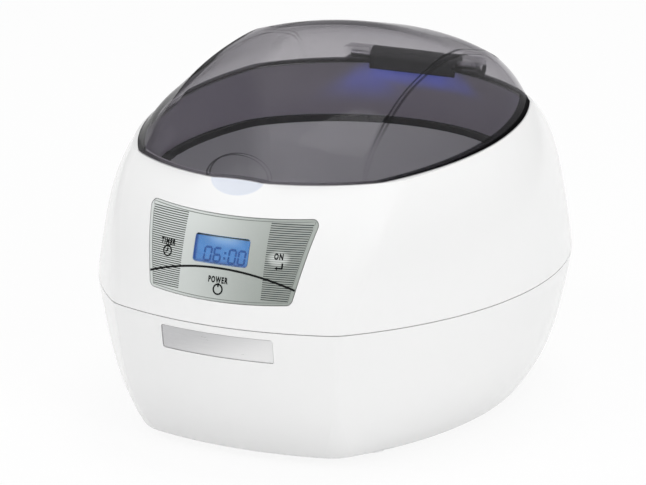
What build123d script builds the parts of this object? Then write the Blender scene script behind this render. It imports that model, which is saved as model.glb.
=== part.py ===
from build123d import *
import math
import os

# Ultrasonic cleaner for contact lenses: an egg-shaped case in two shells, a smoked hinged lid,
# an oval steel tank and a display panel. Millimetres. X to the right, Y to the back, Z up;
# the origin is on the table, under the middle of the case.

# --- case outline -------------------------------------------------------------------------
foot_height = 3.0          # the rubber feet hold the base this far off the table
seam_height = 55.0         # parting line between the two shells
rim_height = 109.2         # lid rim, on the middle axis
rim_tilt = 3.3             # degrees; the rim rises towards the back
rim_centre_y = -2.4        # the rim's middle lies this far forward
rim_half_width = 70.0
rim_half_depth = 79.1
rim_end_extra = 11.0       # the front and back have this much more radius than the half width
rim_end_radius = rim_half_width + rim_end_extra
bulge_width = 16.5         # the seam stands out this far beyond the rim
bulge_depth = 21.4
seam_end_extra = 37.5
base_narrowing = 18.5      # the base is this much smaller than the seam
base_shortening = 16.0
base_end_extra = 67.0
seam_half_width = rim_half_width + bulge_width
seam_half_depth = rim_half_depth + bulge_depth
base_half_width = seam_half_width - base_narrowing
base_half_depth = seam_half_depth - base_shortening
seam_end_radius = seam_half_width + seam_end_extra
base_end_radius = base_half_width + base_end_extra
side_radius = 131.0
side_centre_y = 3.4        # the widest place lies a little behind the middle
swell_linear = 0.45        # how fast the case narrows above and below the seam
swell_square = 0.15
swell_quartic = 0.40
upper_corner_radius = 20.0
lower_corner_radius = 1.6  # the sharp line down the lower shell's corners
base_corner_radius = 16.0  # it fades out towards the base
base_edge_radius = 3.0
form_steps = (0.25, 0.5, 0.75, 1.0)
form_over = 1.25           # the outline goes on this far past the rim, for trimming
wall = 2.6
floor_thickness = 3.0
seam_gap = 0.35
lap_height = 2.2           # tongue of the lower shell inside the upper one
lap_clearance = 0.15
big = 300.0                # larger than the whole object, for cutting

# --- mouth, tank and gasket ---------------------------------------------------------------
rim_land = 4.0             # white rim between the case's outline and the opening
mouth_over = 1.4           # the opening's shape goes on this far past the rim, for cutting
throat_height = 92.7       # where the white funnel meets the gasket
throat_narrowing = 1.7     # the throat is this much smaller than the opening in the rim
throat_shortening = 4.9
throat_end_extra = 5.9
mouth_half_width = rim_half_width - rim_land
mouth_half_depth = rim_half_depth - rim_land
throat_half_width = mouth_half_width - throat_narrowing
throat_half_depth = mouth_half_depth - throat_shortening
throat_end_radius = throat_half_width + throat_end_extra
oval_side_radius = 117.0
oval_corner_radius = 30.0
funnel_wall = 2.2
roof_thickness = 3.0
gasket_thickness = 2.5
gasket_show = 2.4          # width of gasket seen from above
gasket_grip = 4.2          # width under the funnel wall
sheet = 1.0                # tank steel
tank_lip = 0.3             # the tank wall stands this far inside the gasket
tank_draft = 4.5           # how much narrower the tank is at its floor
tank_floor_height = 38.0
tank_floor_radius = 8.0
clamp_thickness = 2.6
clamp_reach = 7.0          # outer edge of the clamp ring, beyond the throat
clamp_clearance = 0.5
clamp_ear_radius = 3.6
clamp_screw_out = 8.0      # screws stand this far outside the throat's corners
clamp_boss_radius = 3.4
light_x = 28.0             # two blue lamps in the front of the funnel
light_z = 98.0
light_radius = 2.2
light_length = 6.0
light_clearance = 0.1
bond_thickness = 0.4
bond_radius = 22.0
disc_radius = 22.5
disc_thickness = 2.8
electrode_radius = 20.5
electrode_thickness = 0.2

# --- lid ----------------------------------------------------------------------------------
lid_inset = 0.4            # the lid's edge stands this far inside the rim's outer edge
lid_gap = 0.3              # air between the lid and the rim
lid_wall = 2.2
lid_crown = 31.3           # height above the rim that the heights below are meant for
lid_crown_radius = 157.5   # across the top, from side to side
lid_end_extra = 7.8
lid_end_radius = rim_half_width + lid_end_extra
lid_over = 1.0             # the rough lid reaches this far past its trimmed edge
lid_stations = (-1.0, -0.69, -0.34, 0.0, 0.34, 0.69, 1.0)   # shares of the rim's half width
# the lid's centre line: shares of the rim's half depth from its middle, and heights above the rim
lid_line_front = (
    (-1.001, -1.5), (-0.992, 5.3), (-0.855, 14.5),
    (-0.665, 21.8), (-0.412, 27.8), (-0.096, 31.1),
)
lid_line_back = (
    (0.283, 31.7), (0.6, 25.1), (0.811, 18.7),
    (0.913, 10.7), (0.969, 1.5), (0.98, -1.5),
)
# the side facets: heights above the rim, and how far they lean in there
facet_line = (
    (-14.0, -14.0), (0.0, -0.1), (5.0, 4.8),
    (10.0, 9.7), (15.0, 15.5), (20.0, 20.8),
    (25.0, 26.7), (30.0, 31.5), (38.0, 36.5),
)
facet_radius = 118.0       # from front to back, at the rim
facet_flattening = 0.82    # the radius grows by this much for each millimetre of height
facet_centre_y = 1.7
scoop_radius = 21.4        # finger scoop, half in the lid and half in the case
scoop_half_width = 35.0
scoop_out = 13.9           # the scoop's middle lies this far in front of the rim
scoop_up = 14.4            # and this far above it

# --- hinge --------------------------------------------------------------------------------
hinge_inset = 2.1          # the pin lies this far inside the rim's back edge
hinge_above_rim = 2.1
hinge_pin_radius = 1.5
hinge_pin_fit = 0.05
hinge_barrel_radius = 4.2
hinge_block_half = 18.5
hinge_lug_width = 9.8
hinge_side_gap = 0.35
hinge_block_drop = 4.5     # the block stands this far below its pin
hinge_gap = 0.4            # air around the turning parts
hinge_peg_x = 11.0
hinge_peg_radius = 1.6
hinge_peg_length = 4.0
hinge_peg_clearance = 0.1
ledge_depth = 6.0
lid_arm_length = 9.0

# --- front panel and display --------------------------------------------------------------
panel_top_z = 94.5
panel_top_half = 34.2
panel_top_sag = 0.9
panel_bottom_z = 65.4
panel_bottom_half = 28.4
panel_bottom_sag = 1.2
panel_corner_radius = 2.2
panel_thickness = 1.0
panel_set_back = 0.1
panel_clearance = 0.3
panel_bed = 0.2
window_half_width = 11.0
window_bottom_z = 77.0
window_top_z = 86.7
window_corner_radius = 1.2
window_clearance = 0.1
window_flange = 1.2        # the window widens by this much behind the panel
window_flange_thickness = 0.6
window_hole_clearance = 0.3
display_lean = 17.0        # degrees; the front of the case leans back
display_depth = 2.7        # front of the case to the display's face
module_thickness = 3.0
board_half_width = 27.0
board_low = 16.0           # below the middle of the window
board_high = 11.0
board_thickness = 1.6
board_depth = 9.4          # behind the middle of the window
switch_size = 6.0
switch_height = 2.6
key_radius = 2.4
key_clearance = 0.2
key_travel = 0.4
key_film_gap = 0.15        # air between a key and the film above it
stem_radius = 1.5
stem_clearance = 0.1
key_cap_length = 1.6
board_boss_x = 23.5
board_boss_up = 7.5
board_boss_down = 12.5
board_boss_radius = 2.8
board_screw_radius = 0.9
board_screw_head = 1.9
board_screw_length = 5.0
beeper_radius = 4.5
beeper_height = 5.0
key_places = {"timer": (-22.4, 78.8), "power": (0.0, 69.0), "on": (22.4, 78.8)}

# --- name plate, left bare ----------------------------------------------------------------
plate_half_width = 22.4
plate_height = 8.8
plate_drop = 3.0           # the plate's top edge lies this far below the seam
plate_top_z = seam_height - plate_drop
plate_bottom_z = plate_top_z - plate_height
plate_corner_radius = 0.8
plate_thickness = 0.8
plate_set_back = 0.35
plate_clearance = 0.25

# --- base, feet, screws, inlet -------------------------------------------------------------
foot_radius = 7.0
foot_recess = 1.0
foot_clearance = 0.15
foot_inset_x = 38.0        # feet and screws, measured from the base's half width and depth
foot_inset_y = 24.5
case_screw_inset_x = 22.0
case_screw_inset_y = 22.5
foot_x = base_half_width - foot_inset_x
foot_y = base_half_depth - foot_inset_y
case_screw_x = base_half_width - case_screw_inset_x
case_screw_y = base_half_depth - case_screw_inset_y
pillar_radius = 4.0
pillar_top = 80.0
pillar_bore = 1.4
pillar_recess_radius = 3.0
pillar_web = 2.0
screw_radius = 1.25
screw_head_radius = 2.6
screw_head_height = 1.8
screw_bite = 8.0
vent_count = 7
vent_pitch = 5.0
vent_width = 2.2
vent_length = 30.0
vent_y = -38.0
inlet_z = 28.0
inlet_half_width = 10.0
inlet_half_height = 6.5
inlet_depth = 16.0
inlet_inset = 10.5         # the inlet's face, measured from the seam's half depth
inlet_face_y = seam_half_depth - inlet_inset
inlet_frame = 3.0
inlet_pocket_edge = 3.2
inlet_clearance = 0.2
inlet_flange = 2.6
inlet_flange_thickness = 1.5
socket_radius = 4.4
socket_pitch = 8.6
socket_depth = 12.0
inlet_pin_radius = 1.2
inlet_pin_length = 10.0
inlet_tab_radius = 0.9
inlet_tab_length = 6.0

# --- power board ---------------------------------------------------------------------------
power_board_half = 37.0
power_board_front = 4.0
power_board_back = 60.0
power_board_thickness = 1.6
standoff_height = 6.0
standoff_radius = 3.0
standoff_inset = 5.0
standoff_bore = 1.1
header_place = (-15.0, 9.0)
header_size = (12.0, 5.0, 6.0)
plug_place = (15.0, 9.0)
plug_size = (8.0, 6.0, 6.0)
terminal_place = (0.0, 54.0)
terminal_size = (16.0, 9.0, 10.0)
core_place = (21.0, 31.0)
core_size = (22.0, 18.0, 17.0)
core_leg = 4.0
coil_gap = 0.3
sink_place = (-22.0, 26.0)
sink_size = (24.0, 2.0, 16.0)
sink_fin_count = 5
sink_fin_depth = 8.0
sink_fin_thickness = 1.2
chip_size = (10.0, 4.4, 10.0)
chip_lift = 4.0
chip_leg = 0.8
capacitor_place = (24.0, 49.0)
capacitor_radius = 5.0
capacitor_height = 16.0
choke_place = (-0.5, 37.5)
choke_radius = 5.0
choke_tube = 2.3
fuse_place = (-22.0, 44.0)
fuse_length = 20.0
fuse_radius = 2.4
fuse_lift = 4.4
fuse_clip_width = 5.0
fuse_clip_wall = 0.6
fuse_clip_clearance = 0.05
lead_radius = 0.9
lead_bend = 4.0
ribbon_x = -15.0
ribbon_width = 9.0
ribbon_thickness = 0.8
ribbon_inset = 19.5        # behind the display, measured from the seam's half depth
ribbon_back = seam_half_depth - ribbon_inset
ribbon_z = 25.0


# ============================ shapes shared by several pieces ==============================

def between(a, b, share):
    return a + (b - a) * share


def swell(t):
    """1 at the seam, 0 at the rim or the base: how far out the case stands at height share t."""
    return 1 - swell_linear * t - swell_square * t ** 2 - swell_quartic * t ** 4


def base_z():
    return foot_height


def height_share(z):
    """0 at the seam, 1 at the rim above it or at the base below it."""
    if z >= seam_height:
        return (z - seam_height) / (rim_height - seam_height)
    return (seam_height - z) / (seam_height - base_z())


def level_at(y, z):
    """The upper case's sections tilt more and more towards the rim. This is the height, on the
    middle axis, of the section through y and z."""
    if z <= seam_height:
        return z
    rise = rim_height - seam_height
    return seam_height + (z - seam_height) * rise / (rise + y * math.tan(math.radians(rim_tilt)))


def section_tilt(level):
    return rim_tilt * height_share(level) if level > seam_height else 0.0


def section_shift(level):
    """How far back a section's middle lies; it moves with the rim's middle."""
    return rim_centre_y * (1 - swell(height_share(level))) if level > seam_height else 0.0


def case_half_depth(z):
    end = rim_half_depth if z >= seam_height else base_half_depth
    return between(end, seam_half_depth, swell(height_share(z)))


def case_half_width(z):
    end = rim_half_width if z >= seam_height else base_half_width
    return between(end, seam_half_width, swell(height_share(z)))


def case_end_radius(z):
    end = rim_end_radius if z >= seam_height else base_end_radius
    return between(seam_end_radius, end, height_share(z))


def sagitta(radius, offset):
    return radius - math.sqrt(radius ** 2 - offset ** 2)


def front_y(x, z):
    """Y of the case's front surface, closed in on in a few steps."""
    y = -seam_half_depth
    for _ in range(6):
        level = level_at(y, z)
        y = section_shift(level) + sagitta(case_end_radius(level), x) - case_half_depth(level)
    return y


def corner_points(end_centre_y, end_radius, side_centre, side_r, corner):
    """Corner arc inside the front arc and the right-hand arc: its ends and its middle."""
    ex, ey = 0.0, end_centre_y
    sx, sy = side_centre
    re, rs = end_radius - corner, side_r - corner
    dx, dy = sx - ex, sy - ey
    d = math.hypot(dx, dy)
    along = (re ** 2 - rs ** 2 + d ** 2) / (2 * d)
    off = math.sqrt(re ** 2 - along ** 2)
    px, py = ex + dx * along / d, ey + dy * along / d
    choices = [(px + k * dy * off / d, py - k * dx * off / d) for k in (1, -1)]
    cx, cy = min(choices, key=lambda p: p[1])
    first = (ex + (cx - ex) * end_radius / re, ey + (cy - ey) * end_radius / re)
    last = (sx + (cx - sx) * side_r / rs, sy + (cy - sy) * side_r / rs)
    ux, uy = (first[0] + last[0]) / 2 - cx, (first[1] + last[1]) / 2 - cy
    length = math.hypot(ux, uy)
    middle = (cx + ux * corner / length, cy + uy * corner / length)
    return first, middle, last


def egg_outline(half_width, half_depth, end_r, side_r, side_y, corner, shift=0.0):
    """Closed flat outline of eight arcs, alike front and back: ends, sides and four corners."""
    side_centre = (half_width - side_r, side_y)
    f1, fm, f2 = corner_points(end_r - half_depth, end_r, side_centre, side_r, corner)
    mirrored = (half_width - side_r, -side_y)
    b1, bm, b2 = corner_points(end_r - half_depth, end_r, mirrored, side_r, corner)

    def at(p, sx=1, sy=1):
        return (sx * p[0], sy * p[1] + shift, 0)

    side = (half_width, side_y)
    nose = (0.0, -half_depth)
    arcs = [
        ThreePointArc(at(f1, -1), at(nose), at(f1)),
        ThreePointArc(at(f1), at(fm), at(f2)),
        ThreePointArc(at(f2), at(side), at(b2, 1, -1)),
        ThreePointArc(at(b2, 1, -1), at(bm, 1, -1), at(b1, 1, -1)),
        ThreePointArc(at(b1, 1, -1), at(nose, 1, -1), at(b1, -1, -1)),
        ThreePointArc(at(b1, -1, -1), at(bm, -1, -1), at(b2, -1, -1)),
        ThreePointArc(at(b2, -1, -1), at(side, -1), at(f2, -1)),
        ThreePointArc(at(f2, -1), at(fm, -1), at(f1, -1)),
    ]
    return Wire([a.edge() for a in arcs])


def case_outline(level, inset, corner):
    flat = egg_outline(
        case_half_width(level) - inset,
        case_half_depth(level) - inset,
        case_end_radius(level) - inset,
        side_radius - inset,
        side_centre_y,
        max(corner - inset, lower_corner_radius / 2),
        section_shift(level),
    )
    return Pos(0, 0, level) * Rot(section_tilt(level), 0, 0) * flat


def upper_form(inset=0.0):
    """The case as the upper shell has it, from below the seam to above the rim."""
    rise = rim_height - seam_height
    drop = seam_height - base_z()
    levels = [seam_height - form_steps[0] * drop, seam_height]
    levels += [seam_height + t * rise for t in form_steps]
    levels += [seam_height + form_over * rise]
    return Solid.make_loft([case_outline(z, inset, upper_corner_radius) for z in levels])


def lower_form(inset=0.0):
    """The case as the lower shell has it, from the base to above the seam."""
    rise = rim_height - seam_height
    drop = seam_height - base_z()
    levels = [seam_height - t * drop for t in reversed(form_steps)]
    levels += [seam_height, seam_height + form_steps[0] * rise]

    def corner(z):
        share = max(0.0, (seam_height - z) / drop)
        return between(lower_corner_radius, base_corner_radius, share ** 2)

    return Solid.make_loft([case_outline(z, inset, corner(z)) for z in levels])


def slab(low, high):
    return Pos(0, 0, low) * Box(big, big, high - low, align=(Align.CENTER, Align.CENTER, Align.MIN))


def above_rim(offset=0.0):
    """Everything above the tilted rim plane, moved up by offset."""
    block = Box(big, big, big, align=(Align.CENTER, Align.CENTER, Align.MIN))
    return Pos(0, 0, rim_height + offset) * Rot(rim_tilt, 0, 0) * block


def rim_z(y):
    return rim_height + y * math.tan(math.radians(rim_tilt))


def rim_front_y():
    return rim_centre_y - rim_half_depth


def rim_back_y():
    return rim_centre_y + rim_half_depth


def throat_outline(grow, z):
    flat = egg_outline(
        throat_half_width + grow,
        throat_half_depth + grow,
        throat_end_radius + grow,
        oval_side_radius + grow,
        0.0,
        oval_corner_radius + grow,
    )
    return Pos(0, 0, z) * flat


def throat_plate(grow, low, high):
    """Flat oval plate under the funnel, as large as the throat plus grow."""
    return Solid.make_loft([throat_outline(grow, z) for z in (low, high)], ruled=True)


def funnel_section(grow, k):
    """Outline of the funnel at height share k: 0 at the throat, 1 in the tilted rim plane."""
    flat = egg_outline(
        between(throat_half_width, mouth_half_width, k) + grow,
        between(throat_half_depth, mouth_half_depth, k) + grow,
        between(throat_end_radius, rim_end_radius - rim_land, k) + grow,
        between(oval_side_radius, side_radius - rim_land, k) + grow,
        side_centre_y * k,
        between(oval_corner_radius, upper_corner_radius - rim_land, k) + grow,
        rim_centre_y * k,
    )
    return Pos(0, 0, between(throat_height, rim_height, k)) * Rot(rim_tilt * k, 0, 0) * flat


def funnel(grow, low=0.0):
    """The space inside the white funnel, or with grow its outside, from height share low up."""
    return Solid.make_loft([funnel_section(grow, k) for k in (low, mouth_over)], ruled=True)


def funnel_opening():
    """Cuts the mouth free, from a little below the throat."""
    return funnel(0, -roof_thickness / (rim_height - throat_height) / 2)


def mirrored_places(x, y):
    return [(sx * x, sy * y) for sx in (-1, 1) for sy in (-1, 1)]


def post(x, y, radius, low, high):
    return Pos(x, y, low) * Cylinder(radius, high - low, align=(Align.CENTER, Align.CENTER, Align.MIN))


def scoop_form(grow=0.0):
    """Ellipsoid that presses the finger scoop into lid and case."""
    a, r = scoop_half_width + grow, scoop_radius + grow
    arc = EllipticalCenterArc((0, 0), a, r, start_angle=0, arc_size=180)
    half = make_face([arc.edge(), Line((-a, 0), (a, 0)).edge()])
    ball = revolve(half, Axis.X, 360)
    return Pos(0, rim_front_y() - scoop_out, rim_z(rim_front_y()) + scoop_up) * ball


def fuse_all(parts):
    """Adds a list of shapes together."""
    whole = parts[0]
    for part in parts[1:]:
        whole = whole + part
    return whole


def box_between(x0, x1, y0, y1, z0, z1):
    block = Box(x1 - x0, y1 - y0, z1 - z0, align=(Align.MIN, Align.MIN, Align.MIN))
    return Pos(x0, y0, z0) * block


def box_on(place, size, z):
    """A block of the given size standing at a place on a board."""
    x, y = place
    return box_between(x - size[0] / 2, x + size[0] / 2, y - size[1] / 2, y + size[1] / 2, z, z + size[2])


def bar_x(radius, x0, x1, y, z):
    """Round bar along X."""
    bar = Cylinder(radius, x1 - x0, align=(Align.CENTER, Align.CENTER, Align.MIN))
    return Pos(x0, y, z) * Rot(0, 90, 0) * bar


def bar_y(radius, y0, y1, x, z):
    """Round bar along Y."""
    bar = Cylinder(radius, y1 - y0, align=(Align.CENTER, Align.CENTER, Align.MIN))
    return Pos(x, y0, z) * Rot(-90, 0, 0) * bar


def screw(x, y, top, length, radius, head_radius, head_height):
    """Screw driven upwards: its head hangs below the height top - length."""
    seat = top - length
    return post(x, y, radius, seat, top) + post(x, y, head_radius, seat - head_height, seat)


# ================================ openings in the front =====================================

def front_prism(face):
    """Turns a face drawn with x across and y up into a bar through the front of the case."""
    upright = Plane(origin=(0, 0, 0), x_dir=(1, 0, 0), z_dir=(0, -1, 0))
    return extrude(upright * face, amount=big / 2)


def panel_prism(grow=0.0):
    """The panel's outline, drawn on the front and run through the front wall."""
    t, b = panel_top_half, panel_bottom_half
    top, low = panel_top_z, panel_bottom_z
    edges = [
        ThreePointArc((-t, top), (0, top - panel_top_sag), (t, top)),
        Line((t, top), (b, low)),
        ThreePointArc((b, low), (0, low - panel_bottom_sag), (-b, low)),
        Line((-b, low), (-t, top)),
    ]
    face = make_face([e.edge() for e in edges])
    face = fillet(face.vertices(), panel_corner_radius)
    if grow:
        face = offset(face, grow)
    return front_prism(face)


def rounded_prism(half_width, low, high, corner, grow=0.0):
    height = high - low + 2 * grow
    face = RectangleRounded(2 * (half_width + grow), height, corner + grow)
    return front_prism(Pos(0, (low + high) / 2) * face)


def window_prism(grow=0.0):
    return rounded_prism(window_half_width, window_bottom_z, window_top_z, window_corner_radius, grow)


def plate_prism(grow=0.0):
    return rounded_prism(plate_half_width, plate_bottom_z, plate_top_z, plate_corner_radius, grow)


def window_middle_z():
    return (window_bottom_z + window_top_z) / 2


def display_plane():
    """Middle of the window on the front surface; its z axis points out of the case."""
    z = window_middle_z()
    lean = math.radians(display_lean)
    normal = (0, -math.cos(lean), math.sin(lean))
    return Plane(origin=(0, front_y(0, z), z), x_dir=(1, 0, 0), z_dir=normal)


def in_display(shape):
    """Places a shape drawn in the display plane."""
    return display_plane().location * shape


def display_bar(x, y, radius, low, high):
    return in_display(post(x, y, radius, low, high))


def display_block(x0, x1, y0, y1, z0, z1):
    return in_display(box_between(x0, x1, y0, y1, z0, z1))


def key_local(name):
    """A key's middle on the front surface, in the display plane's own measures."""
    x, z = key_places[name]
    local = display_plane().to_local_coords(Vector(x, front_y(x, z), z))
    return local.X, local.Y, local.Z


def board_boss_places():
    return [(sx * board_boss_x, y) for sx in (-1, 1) for y in (board_boss_up, -board_boss_down)]


# ================================ tank ======================================================

def tank_grow():
    """The tank's outer outline at its flange, measured from the throat."""
    return sheet - gasket_show - tank_lip


def tank_form(grow, low, floor_radius):
    """Solid block with the tank's shape, from its floor to its flange."""
    top = throat_height - gasket_thickness
    full = tank_grow() + grow

    def section(z):
        narrower = tank_draft * (top - z) / (top - tank_floor_height)
        return throat_outline(full - narrower, z)

    block = Solid.make_loft([section(low), section(top + sheet)], ruled=True)
    rim = block.faces().sort_by(Axis.Z)[0].edges()
    return fillet(rim, floor_radius)


def flange_bottom_z():
    return throat_height - gasket_thickness - sheet


def make_tank():
    top = throat_height - gasket_thickness
    pan = tank_form(0, tank_floor_height, tank_floor_radius) & slab(0, top)
    flange = throat_plate(gasket_grip, flange_bottom_z(), top)
    inside = tank_form(-sheet, tank_floor_height + sheet, tank_floor_radius - sheet)
    return pan + flange - inside


def make_tank_gasket():
    low, high = throat_height - gasket_thickness, throat_height
    return throat_plate(gasket_grip, low, high) - throat_plate(-gasket_show, low - 1, high + 1)


def clamp_places():
    """Four places outside the middles of the throat's corner arcs."""
    out = clamp_screw_out
    end_radius, side_r = throat_end_radius + out, oval_side_radius + out
    side_centre = (throat_half_width + out - side_r, 0.0)
    end_centre_y = end_radius - throat_half_depth - out
    corner = corner_points(end_centre_y, end_radius, side_centre, side_r, oval_corner_radius + out)
    x, y = corner[1]
    return mirrored_places(x, -y)


def make_tank_clamp_ring():
    high = flange_bottom_z()
    low = high - clamp_thickness
    ring = throat_plate(clamp_reach, low, high)
    for x, y in clamp_places():
        ring = ring + post(x, y, clamp_ear_radius, low, high)
    ring = ring - throat_plate(tank_grow() + clamp_clearance, low - 1, high + 1)
    for x, y in clamp_places():
        ring = ring - post(x, y, screw_radius + foot_clearance, low - 1, high + 1)
    return ring


def make_clamp_screws():
    top = flange_bottom_z() + screw_bite - 1
    length = top - (flange_bottom_z() - clamp_thickness)
    return Compound([
        screw(x, y, top, length, screw_radius, screw_head_radius, screw_head_height)
        for x, y in clamp_places()
    ])


def bond_bottom_z():
    return tank_floor_height - bond_thickness


def make_transducer_bond():
    return post(0, 0, bond_radius, bond_bottom_z(), tank_floor_height)


def make_transducer_disc():
    return post(0, 0, disc_radius, bond_bottom_z() - disc_thickness, bond_bottom_z())


def electrode_bottom_z():
    return bond_bottom_z() - disc_thickness - electrode_thickness


def make_transducer_electrode():
    return post(0, 0, electrode_radius, electrode_bottom_z(), bond_bottom_z() - disc_thickness)


def light_bars(radius, length):
    front, back = -throat_half_depth - length, -throat_half_depth / 2
    return [bar_y(radius, front, back, x, light_z) for x in (-light_x, light_x)]


def make_tank_lights():
    return Compound([bar - funnel_opening() for bar in light_bars(light_radius, light_length)])


# ================================ upper shell ===============================================

def pillar_posts(low, high, radius):
    return [post(x, y, radius, low, high) for x, y in mirrored_places(case_screw_x, case_screw_y)]


def upper_pillars():
    """Screw posts of the upper shell, each held to the wall by a web."""
    webs = []
    for x, y in mirrored_places(case_screw_x, case_screw_y):
        height = pillar_top - seam_height
        web = Box(seam_half_depth, pillar_web, height, align=(Align.MIN, Align.CENTER, Align.MIN))
        angle = math.degrees(math.atan2(y, x))
        webs.append(Pos(x, y, seam_height) * Rot(0, 0, angle) * web)
    posts = pillar_posts(seam_height, pillar_top, pillar_radius)
    return fuse_all(posts + webs) & upper_form(wall / 2)


def clamp_bosses():
    low = flange_bottom_z()
    bosses = fuse_all([post(x, y, clamp_boss_radius, low, 2 * rim_height) for x, y in clamp_places()])
    bosses = (bosses & upper_form(wall / 2)) - above_rim(-roof_thickness / 2)
    return bosses - funnel(funnel_wall / 2)


def hinge_y():
    return rim_back_y() - hinge_inset


def hinge_axis_z():
    return rim_z(hinge_y()) + hinge_above_rim


def hinge_block_low():
    return hinge_axis_z() - hinge_block_drop


def hinge_front_y():
    return hinge_y() - hinge_barrel_radius


def hinge_notch():
    """Room for the hinge block and for the lid's lugs in the rim."""
    half = hinge_block_half + hinge_side_gap
    notch = box_between(-half, half, hinge_front_y() - hinge_gap, big, hinge_block_low(), big)
    reach = hinge_block_half + 2 * hinge_side_gap + hinge_lug_width
    turning = hinge_barrel_radius + hinge_gap
    lugs = bar_x(turning, -reach, reach, hinge_y(), hinge_axis_z())
    return notch + lugs


def hinge_ledge():
    """Solid shelf behind the mouth that the hinge block stands on."""
    half = hinge_block_half + hinge_side_gap + hinge_lug_width
    low = hinge_block_low() - ledge_depth
    shelf = box_between(-half, half, 0, big, low, rim_height * 2)
    shelf = (shelf & upper_form(wall / 2)) - above_rim(-roof_thickness / 2)
    return shelf - funnel(funnel_wall / 2)


def peg_posts(radius, low):
    places = [(-hinge_peg_x, hinge_y()), (hinge_peg_x, hinge_y())]
    return [post(x, y, radius, low, hinge_block_low()) for x, y in places]


def panel_bed_cut():
    return panel_prism(panel_clearance) - upper_form(panel_set_back + panel_thickness + panel_bed)


def front_openings():
    """Window and key holes in the wall behind the panel."""
    holes = [window_prism(window_flange + window_hole_clearance)]
    for name in key_places:
        x, y, z = key_local(name)
        hole = display_bar(x, y, key_radius + key_clearance, -big / 4, big / 4)
        holes.append(hole & slab(seam_height, rim_height))
    return [hole - box_between(-big, big, -seam_half_depth / 2, big, 0, big) for hole in holes]


def board_bosses():
    """Posts on the inside of the front wall that carry the display board."""
    posts = [display_bar(x, y, board_boss_radius, -board_depth, 0) for x, y in board_boss_places()]
    return fuse_all(posts) & upper_form(wall / 2)


def lap_ring(low_inset, high_inset, height):
    ring = upper_form(low_inset) - upper_form(high_inset)
    return ring & slab(seam_height - lap_height, seam_height + height)


def make_upper_shell():
    mouth = funnel_opening()
    block = (upper_form() & slab(seam_height + seam_gap, 2 * rim_height)) - above_rim()
    hollow = (upper_form(wall) & slab(0, 2 * rim_height)) - above_rim(-roof_thickness)
    hollow = hollow - funnel(funnel_wall) - scoop_form(wall)
    shell = block - hollow - mouth
    shell = shell + upper_pillars() + clamp_bosses() + hinge_ledge() + board_bosses()
    shell = shell - mouth - scoop_form() - panel_bed_cut() - hinge_notch()
    shell = shell - lap_ring(wall / 2 - lap_clearance, wall + lap_clearance, lap_height + lap_clearance)
    cuts = front_openings()
    cuts += pillar_posts(seam_height - 1, seam_height + screw_bite, pillar_bore)
    for x, y in clamp_places():
        cuts.append(post(x, y, pillar_bore, flange_bottom_z() - 1, flange_bottom_z() + screw_bite))
    cuts += peg_posts(hinge_peg_radius + hinge_peg_clearance, hinge_block_low() - hinge_peg_length - 1)
    cuts += light_bars(light_radius + light_clearance, light_length)
    low, high = -board_depth - 1, 1 - board_depth + board_screw_length
    for x, y in board_boss_places():
        cuts.append(display_bar(x, y, board_screw_radius + lap_clearance, low, high))
    for cut in cuts:
        shell = shell - cut
    return shell


# ================================ lower shell ===============================================

def floor_top_z():
    return base_z() + floor_thickness


def vents():
    slots = []
    for i in range(vent_count):
        x = (i - (vent_count - 1) / 2) * vent_pitch
        slot = SlotOverall(vent_length, vent_width, rotation=90)
        slots.append(Pos(x, vent_y, base_z() - 1) * extrude(slot, amount=floor_thickness + 2))
    return slots


def inlet_prism(grow, y0, y1):
    """Bar with the socket's rounded outline, running from y0 to y1."""
    width, height = 2 * (inlet_half_width + grow), 2 * (inlet_half_height + grow)
    face = RectangleRounded(width, height, inlet_half_height * 0.6 + grow)
    upright = Plane(origin=(0, y0, inlet_z), x_dir=(-1, 0, 0), z_dir=(0, 1, 0))
    return extrude(upright * face, amount=y1 - y0)


def standoff_places():
    x = power_board_half - standoff_inset
    rows = (power_board_front + standoff_inset, power_board_back - standoff_inset)
    return [(side * x, y) for side in (-1, 1) for y in rows]


def case_screw_seat_z():
    return seam_height - screw_bite


def make_lower_shell():
    block = lower_form() & slab(base_z(), seam_height)
    block = fillet(block.faces().sort_by(Axis.Z)[0].edges(), base_edge_radius)
    hollow = lower_form(wall) & slab(floor_top_z(), 2 * seam_height)
    shell = block - hollow
    shell = shell + lap_ring(wall / 2, wall, lap_height)
    posts = pillar_posts(base_z(), seam_height, pillar_radius)
    for x, y in standoff_places():
        posts.append(post(x, y, standoff_radius, base_z() + 1, floor_top_z() + standoff_height))
    frame = inlet_prism(inlet_pocket_edge + inlet_flange, inlet_face_y - inlet_frame, big)
    shell = shell + fuse_all(posts) + (frame & lower_form(wall / 2))
    pocket = inlet_prism(inlet_flange + inlet_clearance, inlet_face_y, big)
    cuts = [pocket, inlet_prism(inlet_clearance, 0, big)]
    cuts += pillar_posts(base_z() - 1, seam_height + 1, screw_radius + foot_clearance)
    cuts += pillar_posts(base_z() - 1, case_screw_seat_z(), pillar_recess_radius)
    for x, y in mirrored_places(foot_x, foot_y):
        cuts.append(post(x, y, foot_radius + foot_clearance, 0, base_z() + foot_recess))
    for x, y in standoff_places():
        cuts.append(post(x, y, standoff_bore, floor_top_z(), big / 4))
    cuts += vents()
    cuts.append(plate_prism(plate_clearance) - lower_form(plate_set_back + plate_thickness))
    for cut in cuts:
        shell = shell - cut
    return shell


def make_name_plate():
    return plate_prism() & (lower_form(plate_set_back) - lower_form(plate_set_back + plate_thickness))


def make_rubber_feet():
    feet = [post(x, y, foot_radius, 0, base_z() + foot_recess) for x, y in mirrored_places(foot_x, foot_y)]
    return Compound([fillet(f.faces().sort_by(Axis.Z)[0].edges(), foot_recess / 2) for f in feet])


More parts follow.
